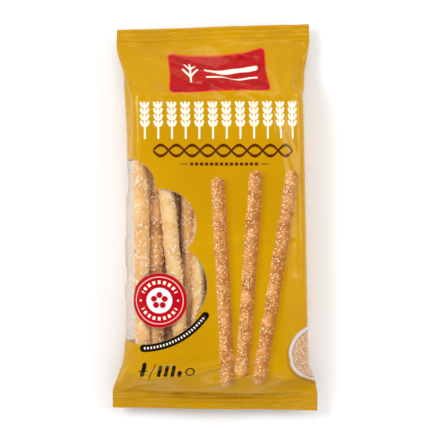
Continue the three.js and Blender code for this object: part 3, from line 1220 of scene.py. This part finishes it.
for petal in range(PETALS):
    paint(disc(around(SEAL, PETAL_RING, math.radians(90 + 360 / PETALS * petal)), PETAL_RADIUS), RED)
print("seal radius in mm:", SEAL_RADIUS)

# %% Dark band under the seal
BAND_CENTRE, BAND_RADIUS, BAND_HALF = (-52.4, -38.2), 54.3, 2.7
BAND_FROM, BAND_TO = math.radians(-88.5), math.radians(-34.5)
band_place = moved(BAND_CENTRE)
band_dashes = bench.group(
    dash_ring, Place=band_place, Radius=BAND_RADIUS, Half_Width=0.8, Dashes=150.0, Filled=0.45)
from_band = abs(bench.vectors("LENGTH", band_place) - BAND_RADIUS)
in_turn = bench.between(band_dashes["Turn"], BAND_FROM, BAND_TO - 0.005, 0.005)
band_mask = bench.fall(from_band, BAND_HALF - 0.25, BAND_HALF + 0.25) * in_turn
for turn in (BAND_FROM, BAND_TO):
    band_mask = bench.math("MAXIMUM", band_mask, disc(around(BAND_CENTRE, BAND_RADIUS, turn), BAND_HALF))
paint(band_mask, BLACK_INK)
paint(band_dashes["Mask"] * bench.between(band_dashes["Turn"], BAND_FROM, BAND_TO - 0.02, 0.01), WHITE)
print("band radius in mm:", BAND_RADIUS)

# %% Small marks at the foot
FOOT_RING = (-17.4, -109.6)
marks = [((-50, -104), (-50, -112), 1.5), ((-53, -109), (-47.5, -109), 0.5)]
marks += [((-45.2, -115.5), (-42.4, -104), 0.35)]
marks += [((x, -106), (x, -112.5), 1.3) for x in (-38.5, -33.8, -29.1)]
marks += [((-24.4, -110.2), (-24.4, -112.2), 1.5)]
for start, end, half_width in marks:
    paint(bar(start, end, half_width), BLACK_INK)
paint(disc(FOOT_RING, 3.3) - disc(FOOT_RING, 2.2), BLACK_INK)
print("marks:", len(marks) + 1)

# %% [markdown]
# ## The clear window, and the film itself
# The window is where the printer left the film bare: three round lobes that run off the pack's left edge.
# Clear film is not glass: it has no thickness to speak of, so light goes straight through, and only a thin
# veil of haze and gloss lies over what is inside. One Principled shader is both films. The window's mask
# mixes the ink with pale haze, and lowers Alpha to what the veil hides, which is more where the film is seen
# aslant. The ink lies under the film and warms what the film mirrors, so the gloss has a warm tint; only the
# thin coat on top glints white. Seen from inside the pack, the film shows its ink, drawn paler than on the
# front as painted bounce light, which lightens the shaded gaps between the sticks behind the window.

# %% Window mask
LOBES = [((-64, 20.5), 21.5), ((-39.2, -4.8), 25.3), ((-37.5, -48), 31)]
print_x, print_y, _ = bench.split(print_place)
low_disc = disc(BAND_CENTRE, BAND_RADIUS - 2.8) * bench.fall(print_y, -62.2, -61.8)
side_strip = bench.group(label_shape, Place=moved((-76, -23.5)), Half_Size=(18, 64.5, 0), Corner=9.0)["Mask"]
window = disc(*LOBES[0])
for part in (disc(*LOBES[1]), disc(*LOBES[2]), low_disc * bench.fall(print_x, -14.5, -14.0), side_strip):
    window = bench.math("MAXIMUM", window, part)
clear = window * (1.0 - bench.math("MAXIMUM", seal_mask, band_mask))
print("window lobes:", len(LOBES))

# %% Printed and clear film
# The inner side's colour is the ink seen from inside, made paler as painted bounce light for the shaded gaps
# between the sticks.
HAZE, HAZE_METALLIC, INNER_SIDE_AND_BOUNCE_LIGHT = (0.64, 0.57, 0.49), 0.4, (0.74, 0.42, 0.11)
LEAST_VEIL, SLANTED_VEIL = 0.045, 0.75
wrinkle = bench.group(film_wrinkle, Place=flat_place, Depth=0.22)
inside = bench.wire("ShaderNodeNewGeometry", {}, "Backfacing")
sided = bench.colours(inside, colour, INNER_SIDE_AND_BOUNCE_LIGHT)
smears = bench.noise(flat_place, 0.05, 3, 0.6)
slant = bench.wire("ShaderNodeLayerWeight", {"Blend": 0.35}, "Facing")
veil = bench.math("ADD", LEAST_VEIL, slant * SLANTED_VEIL, clamp=True)
bench.shade(
    Base_Color=bench.colours(clear, sided, HAZE),
    Metallic=clear * HAZE_METALLIC,
    Roughness=bench.step(smears, 0.3, 0.7, 0.21, 0.31) - clear * 0.1,
    Alpha=1.0 - clear * (1.0 - veil),
    Normal=bench.bump(wrinkle["Height"], MM, 0.6),
    Coat_Weight=0.2,
    Coat_Roughness=0.08,
    Specular_IOR_Level=0.2,
    Specular_Tint=(1.0, 0.72, 0.2, 1))
print("film nodes:", len(bench.tree.nodes))

# %% [markdown]
# ## Seam, crust and seed finishes
# The fin seam is the same mustard film, pressed double, with fine ribs. The crust material reads how well
# baked each stick is from its own mesh, and adds the pores as relief. Sesame seeds are cream to toasted, and
# a little oily, so they catch more light than the dry crust.

# %% Seam material
SEAM_RIB_PITCH = 1.6
bench = new_material("seam_film", seam)
seam_place = bench.object_place()
ribs = bench.math("SINE", bench.split(seam_place)[1] * (2 * math.pi / SEAM_RIB_PITCH))
wrinkle = bench.group(film_wrinkle, Place=seam_place, Depth=0.2)
seam_tint = bench.noise(seam_place, 0.05, 2)
bench.shade(
    Base_Color=bench.colours(seam_tint, MUSTARD_DEEP, MUSTARD_PALE),
    Roughness=bench.step(seam_tint, 0.3, 0.7, 0.3, 0.4),
    Normal=bench.bump(wrinkle["Height"] + ribs * 0.05, MM))
print("seam rib pitch in mm:", SEAM_RIB_PITCH)

# %% Crust material
bench = new_material("breadstick_crust", window_sticks, covered_sticks)
baking = bench.wire("ShaderNodeAttribute", {}, "Fac", attribute_name="baking")
crust = bench.group(baked_crust, Place=bench.object_place(), Baking=baking)
bench.shade(
    Base_Color=crust["Color"],
    Roughness=crust["Roughness"],
    Normal=bench.bump(crust["Height"], 0.5 * MM))
print("crust nodes:", len(bench.tree.nodes))

# %% Seed material
bench = new_material("sesame", seeds)
seed_place = bench.object_place()
toasted = bench.step(bench.noise(seed_place, 0.28, 2), 0.42, 0.66)
grain = bench.noise(seed_place, 3.0, 2)
bench.shade(
    Base_Color=bench.colours(toasted, (0.98, 0.86, 0.62), (0.84, 0.56, 0.27)),
    Roughness=bench.step(grain, 0.3, 0.7, 0.38, 0.55))
print("seed nodes:", len(bench.tree.nodes))

# %% [markdown]
# ## Tie the pieces to the frame
# Every piece rides on the pack's one body. The film stands for the pack's plain solid, which stays hidden for
# collision.

# %% Ride and replace
for piece in (film, seam, window_sticks, covered_sticks, seeds):
    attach(piece, "root")
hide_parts("breadstick_pack")
